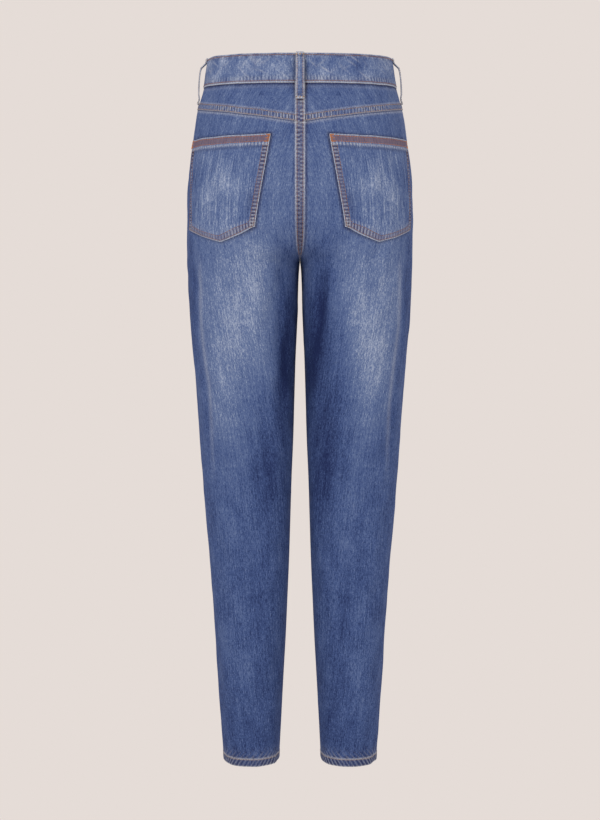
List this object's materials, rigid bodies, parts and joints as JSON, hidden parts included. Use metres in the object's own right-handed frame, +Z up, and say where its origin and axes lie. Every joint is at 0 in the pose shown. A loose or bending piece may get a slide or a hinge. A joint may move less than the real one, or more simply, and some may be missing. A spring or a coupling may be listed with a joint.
{
  "type": "mom jeans",
  "caption": "High-waisted tapered denim jeans, filled out as if worn and open at the waist and hems, with patch pockets, belt loops and a zip fly.",
  "frame": {"origin": "centre of the waistband's ring, at half the waistband's height", "axes": "+Z up along the body, -Y the way the wearer faces, +Y the back, +X the wearer's left"},
  "size_m": [0.3206, 0.228, 1.007],
  "materials": {
    "waistband_denim": "washed twill",
    "seat_denim": "washed twill",
    "leg_denim": "washed twill",
    "pocket_denim": "washed twill",
    "zip_tape": "woven tape",
    "aged_metal": "aged, satin"
  },
  "bodies": {
    "root": {"waistband": "waistband_denim", "back_yoke_left": "seat_denim", "back_yoke_right": "seat_denim", "back_leg_left": "leg_denim", "back_leg_right": "leg_denim", "front_leg_left": "leg_denim", "front_leg_right": "leg_denim", "back_pocket_left": "pocket_denim", "back_pocket_right": "pocket_denim", "pocket_facing_left": "leg_denim", "pocket_facing_right": "leg_denim", "belt_loop_back": "waistband_denim", "belt_loop_side_left": "waistband_denim", "belt_loop_side_right": "waistband_denim", "belt_loop_front_left": "waistband_denim", "belt_loop_front_right": "waistband_denim", "zip_tape": "zip_tape", "zip_slider": "aged_metal", "waist_button": "aged_metal"}
  },
  "joints": []
}
